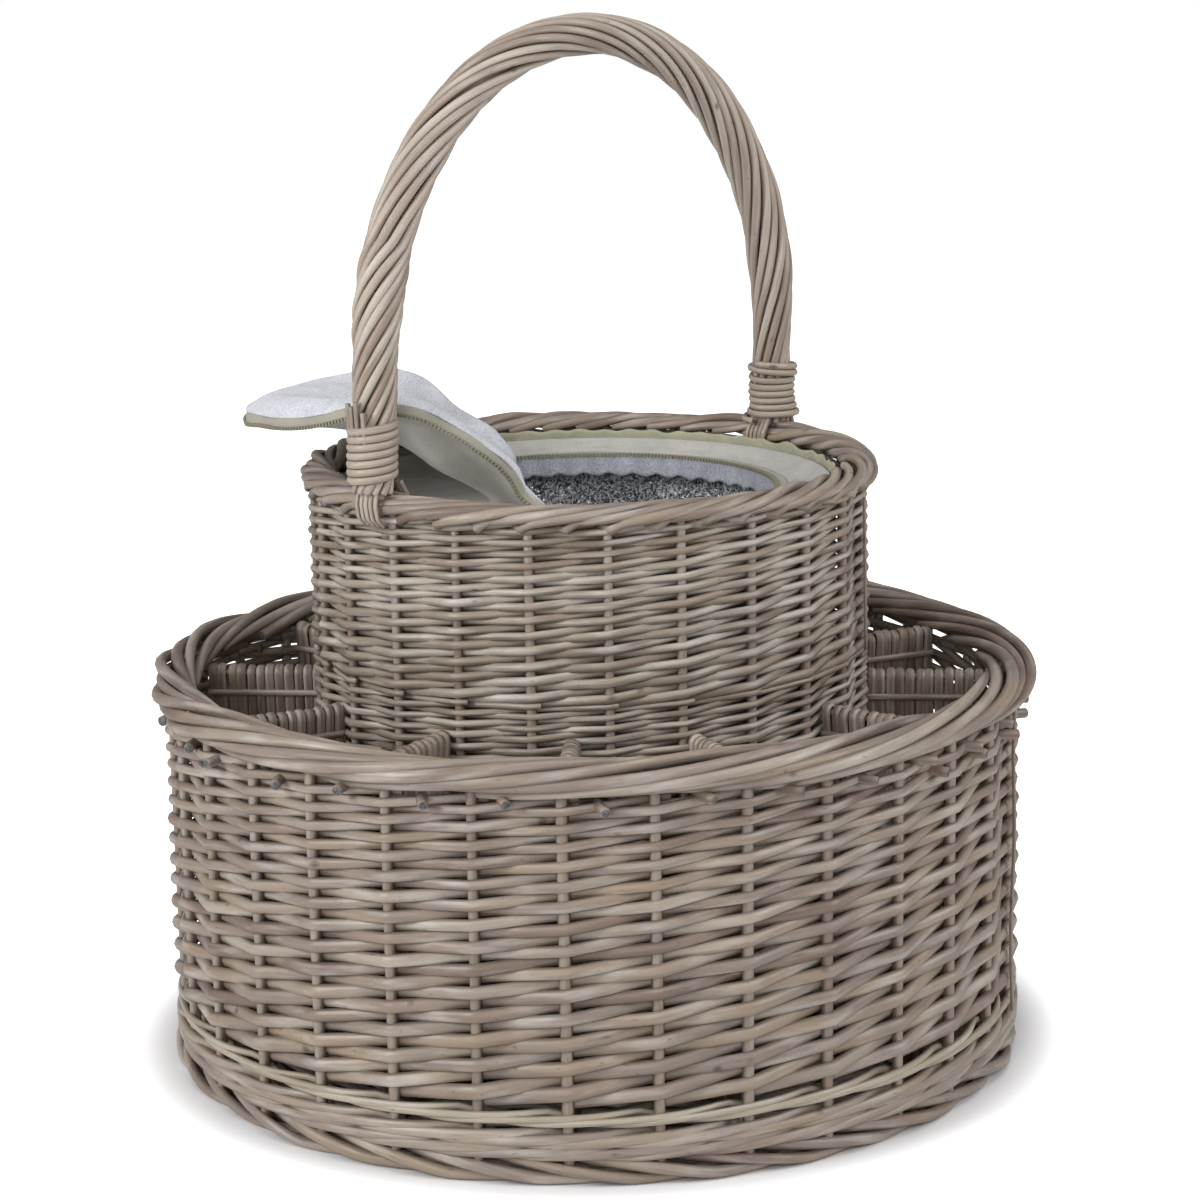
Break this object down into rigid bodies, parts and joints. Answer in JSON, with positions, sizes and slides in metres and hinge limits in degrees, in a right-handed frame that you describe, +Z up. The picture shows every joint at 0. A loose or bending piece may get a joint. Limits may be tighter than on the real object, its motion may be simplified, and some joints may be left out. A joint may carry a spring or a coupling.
{
  "type": "wicker drinks basket",
  "caption": "Round wicker basket with bottle compartments round a raised cooler basket, a roped arch handle and a zipped insulated lid.",
  "frame": {"origin": "centre of the foot, on the surface that the basket stands on", "axes": "+Z up; the handle stands in the XZ plane, its feet on -X and +X"},
  "size_m": [0.498, 0.4966, 0.5795],
  "materials": {
    "willow": "antique washed willow, matt",
    "grey_willow": "antique washed willow, greyer",
    "pale_willow": "split willow skein, satin",
    "cooler_cloth": "brushed cotton twill",
    "collar_cloth": "woven binding tape",
    "zip_tape": "zip tape with moulded teeth",
    "white_lining": "white non-woven lining",
    "foil": "crinkled insulating foil",
    "zip_metal": "nickel plated"
  },
  "bodies": {
    "basket": {"foot_border": "willow", "base_weave": "willow", "base_sticks": "willow", "bottom_wale": "willow", "lower_wall": "willow", "lower_border": "willow", "divider_01": "willow", "divider_02": "willow", "divider_03": "willow", "divider_04": "willow", "divider_05": "willow", "divider_06": "willow", "divider_07": "willow", "divider_08": "willow", "divider_09": "willow", "divider_10": "willow", "divider_11": "willow", "divider_12": "willow", "upper_border": "willow", "tails_left_outer": "willow", "tails_left_inner": "willow", "tails_right_outer": "willow", "tails_right_inner": "willow", "rope_rod_1": "willow", "rope_rod_2": "willow", "rope_rod_3": "willow", "rope_rod_4": "willow", "rope_rod_5": "willow", "rope_rod_6": "willow", "rope_rod_7": "willow", "rope_rod_8": "willow", "rope_rod_9": "willow", "rope_rod_10": "willow", "rope_rod_11": "willow", "rope_rod_12": "willow", "upper_wall": "grey_willow", "upper_wale": "grey_willow", "handle_bow": "pale_willow", "lashing_left": "pale_willow", "lashing_right": "pale_willow", "cooler_bag": "cooler_cloth", "top_panel": "cooler_cloth", "collar": "collar_cloth", "zip_tape": "zip_tape", "mouth_binding": "white_lining", "foil_lining": "foil"},
    "lid": {"lid_panel": "cooler_cloth", "lid_lining": "white_lining", "lid_tape_near": "zip_tape", "lid_tape_far": "zip_tape"},
    "lid_tip": {"lid_tip_panel": "cooler_cloth", "lid_tip_lining": "white_lining", "lid_tip_tape": "zip_tape"},
    "zip_slider": {"zip_slider": "zip_metal"},
    "zip_pull": {"zip_pull": "zip_metal"}
  },
  "joints": [
    {"name": "lid_hinge", "type": "hinge", "parent": "basket", "child": "lid", "pos_m": [-0.02585, 0.03941, 0.314], "axis": [-0.6691, -0.7431, 0], "range_deg": [-128, 0]},
    {"name": "lid_fold", "type": "hinge", "parent": "lid", "child": "lid_tip", "pos_m": [-0.05971, 0.0699, 0.37231], "axis": [-0.6691, -0.7431, 0], "range_deg": [-64, 0]},
    {"name": "zip_run", "type": "hinge", "parent": "basket", "child": "zip_slider", "pos_m": [0.00834, 0.00863, 0.314], "axis": [0, 0, 1], "range_deg": [0, 205]},
    {"name": "pull_flip", "type": "hinge", "parent": "zip_slider", "child": "zip_pull", "pos_m": [-0.08154, -0.05233, 0.3179], "axis": [-0.8276, -0.5613, 0], "range_deg": [0, 150]}
  ],
  "couplings": [
    {"joint": "lid_fold", "follows": "lid_hinge", "ratio": 0.5}
  ]
}
